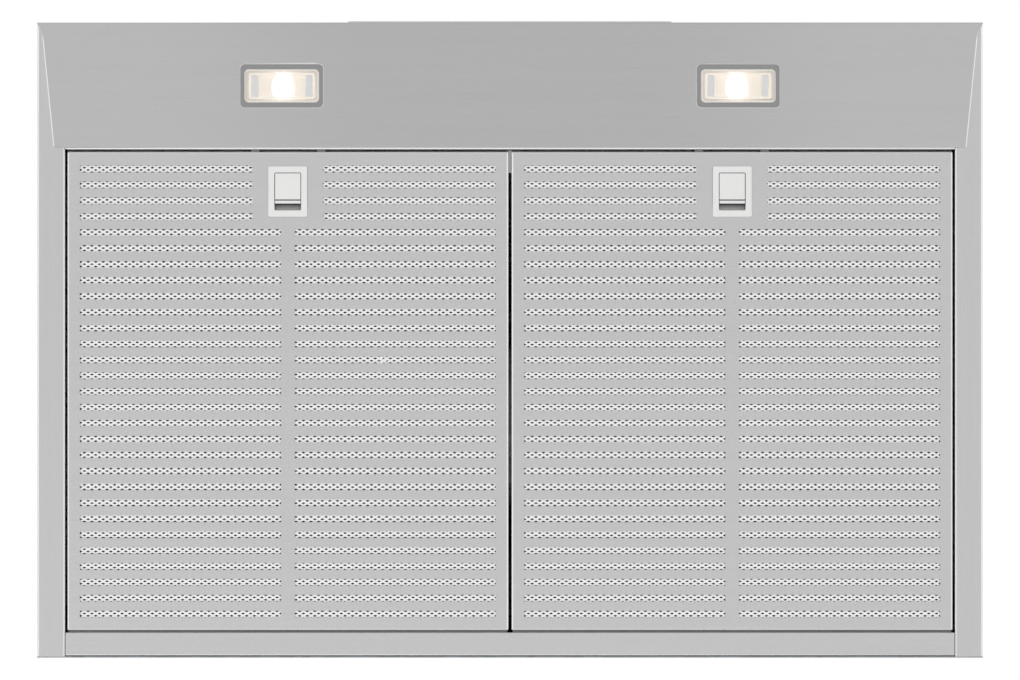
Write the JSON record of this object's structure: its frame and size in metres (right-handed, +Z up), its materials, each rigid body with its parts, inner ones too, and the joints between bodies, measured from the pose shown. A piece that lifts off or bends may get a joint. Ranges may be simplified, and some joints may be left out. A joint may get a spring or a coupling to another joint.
{
  "type": "wall mount range hood",
  "caption": "Pyramid canopy with slotted mesh filters that tilt down, lamps, push buttons, a squirrel cage blower, a duct collar with damper flaps and a telescoping chimney cover.",
  "frame": {"origin": "middle of the four wall screw holes, on the wall face of the back panel", "axes": "+Y into the wall, front faces -Y, +Z up, X across the hood"},
  "size_m": [0.75, 0.5051, 0.69],
  "materials": {
    "stainless": "brushed stainless sheet",
    "filter_steel": "satin stainless sheet",
    "galvanised": "dull zinc coated sheet",
    "bright_steel": "bright plated steel",
    "mesh": "bright expanded aluminium",
    "light_plastic": "light grey moulded plastic",
    "dark_plastic": "black moulded plastic",
    "wheel_metal": "dull sheet",
    "motor_metal": "dark grey enamel",
    "board": "circuit board",
    "trim": "grey satin",
    "lens": "clear moulded lens",
    "led": "warm white"
  },
  "bodies": {
    "hood": {"canopy_shell": "stainless", "front_panel": "stainless", "back_panel": "galvanised", "rear_rail": "stainless", "top_plate": "galvanised", "duct_collar": "galvanised", "damper_rod": "bright_steel", "scroll_band": "galvanised", "scroll_side_left": "galvanised", "scroll_side_right": "galvanised", "motor": "motor_metal", "motor_bracket": "galvanised", "capacitor": "light_plastic", "electrical_box": "galvanised", "electrical_lid": "galvanised", "cable_gland": "dark_plastic", "control_strip": "stainless", "button_carrier": "dark_plastic", "control_board": "board", "lamp_trim_left": "trim", "lamp_trim_right": "trim", "lamp_lens_left": "lens", "lamp_lens_right": "lens", "lamp_reflector_left": "trim", "lamp_reflector_right": "trim", "lamp_can_left": "galvanised", "lamp_can_right": "galvanised", "lamp_led_left": "led", "lamp_led_right": "led", "chimney_lower": "stainless", "plate_screws": "bright_steel", "motor_screws": "bright_steel", "chimney_screws": "bright_steel"},
    "filter_left": {"filter_face_left": "filter_steel", "filter_mesh_left": "mesh", "filter_back_left": "galvanised", "filter_hook_left": "filter_steel", "latch_bezel_left": "light_plastic", "latch_spring_left": "bright_steel"},
    "latch_left": {"latch_pad_left": "light_plastic", "latch_yoke_left": "bright_steel"},
    "filter_right": {"filter_face_right": "filter_steel", "filter_mesh_right": "mesh", "filter_back_right": "galvanised", "filter_hook_right": "filter_steel", "latch_bezel_right": "light_plastic", "latch_spring_right": "bright_steel"},
    "latch_right": {"latch_pad_right": "light_plastic", "latch_yoke_right": "bright_steel"},
    "push_button_1": {"button_1": "dark_plastic"},
    "push_button_2": {"button_2": "dark_plastic"},
    "push_button_3": {"button_3": "dark_plastic"},
    "push_button_4": {"button_4": "dark_plastic"},
    "push_button_5": {"button_5": "dark_plastic"},
    "wheel": {"blower_wheel": "wheel_metal", "motor_shaft": "bright_steel"},
    "damper_front": {"flap_front": "galvanised"},
    "damper_rear": {"flap_rear": "galvanised"},
    "upper_cover": {"chimney_upper": "stainless", "wall_bracket": "galvanised"}
  },
  "joints": [
    {"name": "filter_left_tilt", "type": "hinge", "parent": "hood", "child": "filter_left", "pos_m": [-0.1763, -0.019, -0.138], "axis": [1, 0, 0], "range_deg": [0, 60], "deforming": ["latch_yoke_left"]},
    {"name": "latch_left_slide", "type": "slide", "parent": "filter_left", "child": "latch_left", "axis": [0, 1, 0], "range_m": [0, 0.005], "stiffness_N_per_m": 700, "springref_m": -0.002, "deforming": ["latch_spring_left"]},
    {"name": "filter_right_tilt", "type": "hinge", "parent": "hood", "child": "filter_right", "pos_m": [0.1763, -0.019, -0.138], "axis": [1, 0, 0], "range_deg": [0, 60], "deforming": ["latch_yoke_right"]},
    {"name": "latch_right_slide", "type": "slide", "parent": "filter_right", "child": "latch_right", "axis": [0, 1, 0], "range_m": [0, 0.005], "stiffness_N_per_m": 700, "springref_m": -0.002, "deforming": ["latch_spring_right"]},
    {"name": "button_1_press", "type": "slide", "parent": "hood", "child": "push_button_1", "axis": [0, 1, 0], "range_m": [0, 0.0015], "stiffness_N_per_m": 900, "springref_m": -0.0008},
    {"name": "button_2_press", "type": "slide", "parent": "hood", "child": "push_button_2", "axis": [0, 1, 0], "range_m": [0, 0.0015], "stiffness_N_per_m": 900, "springref_m": -0.0008},
    {"name": "button_3_press", "type": "slide", "parent": "hood", "child": "push_button_3", "axis": [0, 1, 0], "range_m": [0, 0.0015], "stiffness_N_per_m": 900, "springref_m": -0.0008},
    {"name": "button_4_press", "type": "slide", "parent": "hood", "child": "push_button_4", "axis": [0, 1, 0], "range_m": [0, 0.0015], "stiffness_N_per_m": 900, "springref_m": -0.0008},
    {"name": "button_5_press", "type": "slide", "parent": "hood", "child": "push_button_5", "axis": [0, 1, 0], "range_m": [0, 0.0015], "stiffness_N_per_m": 900, "springref_m": -0.0008},
    {"name": "blower_spin", "type": "hinge", "parent": "hood", "child": "wheel", "pos_m": [0.012, -0.19, -0.003], "axis": [1, 0, 0], "continuous": true},
    {"name": "damper_front_lift", "type": "hinge", "parent": "hood", "child": "damper_front", "pos_m": [0, -0.135, 0.1195], "axis": [-1, 0, 0], "range_deg": [0, 75]},
    {"name": "damper_rear_lift", "type": "hinge", "parent": "hood", "child": "damper_rear", "pos_m": [0, -0.135, 0.1195], "axis": [1, 0, 0], "range_deg": [0, 75]},
    {"name": "chimney_upper_slide", "type": "slide", "parent": "hood", "child": "upper_cover", "axis": [0, 0, 1], "range_m": [0, 0.34]}
  ]
}
